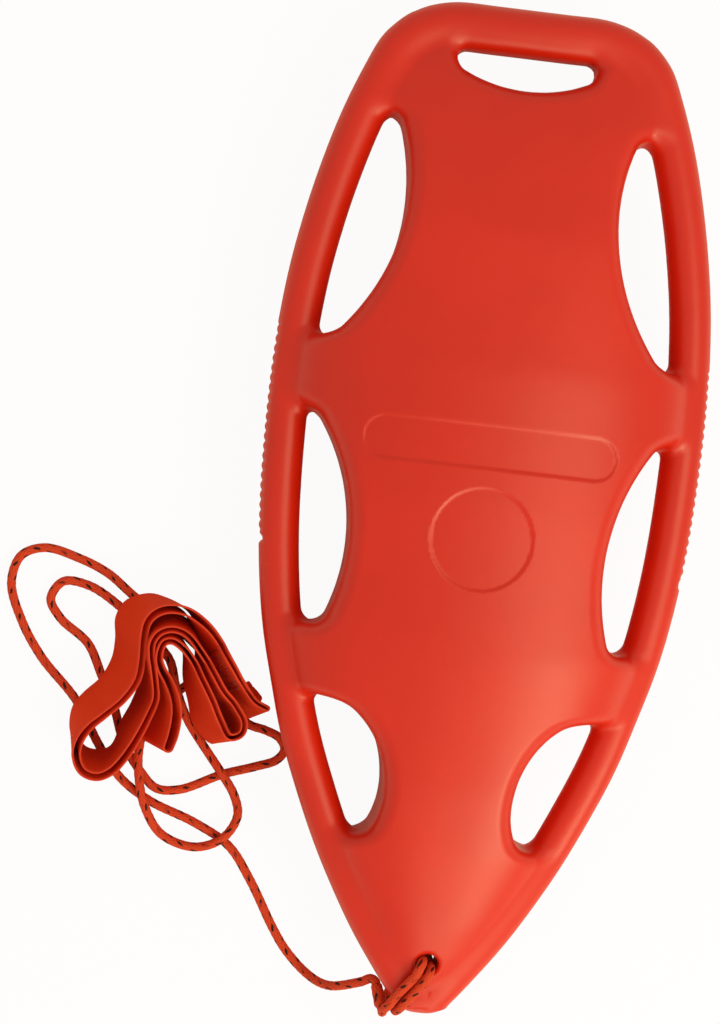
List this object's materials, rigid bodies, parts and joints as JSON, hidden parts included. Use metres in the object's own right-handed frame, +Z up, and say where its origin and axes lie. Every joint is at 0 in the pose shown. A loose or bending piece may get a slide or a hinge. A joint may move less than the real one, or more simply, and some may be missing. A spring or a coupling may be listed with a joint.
{
  "type": "rescue can buoy",
  "caption": "Lens-shaped hollow float with tubular hand grips round its rim, towed by a braided line with a webbing shoulder strap.",
  "frame": {"origin": "middle of the flat belly patch that the hull rests on, on the floor, under the middle of the hull's length", "axes": "+Y from the nose to the tail grip, +Z up out of the deck, +X to the hull's right side seen from above with the tail up"},
  "size_m": [0.5042, 0.7476, 0.1395],
  "materials": {
    "hull": "satin moulded polyethylene, orange-red",
    "foam": "cream closed-cell foam",
    "bush": "plain turned brass",
    "plug": "black moulded nylon",
    "seal": "black rubber",
    "line": "braided floating line with dark tracer flecks",
    "whipping": "whipping twine",
    "webbing": "woven webbing",
    "stitching": "sewn thread"
  },
  "bodies": {
    "hull": {"hull_shell": "hull", "foam_core": "foam", "vent_insert": "bush", "tow_eye": "line", "nose_splice": "whipping", "tow_line": "line", "line_tunnel": "webbing", "shoulder_strap": "webbing", "box_stitch": "stitching"},
    "seal": {"vent_seal": "seal"},
    "plug": {"vent_plug": "plug"}
  },
  "joints": [
    {"name": "plug_travel", "type": "slide", "parent": "hull", "child": "seal", "axis": [0, 0, -1], "range_m": [0, 0.01]},
    {"name": "plug_turn", "type": "hinge", "parent": "seal", "child": "plug", "pos_m": [0, 0.19, 0.0195], "axis": [0, 0, -1], "range_deg": [0, 1800]}
  ],
  "couplings": [
    {"joint": "plug_turn", "follows": "plug_travel", "rad_per_m": 3141.6}
  ]
}
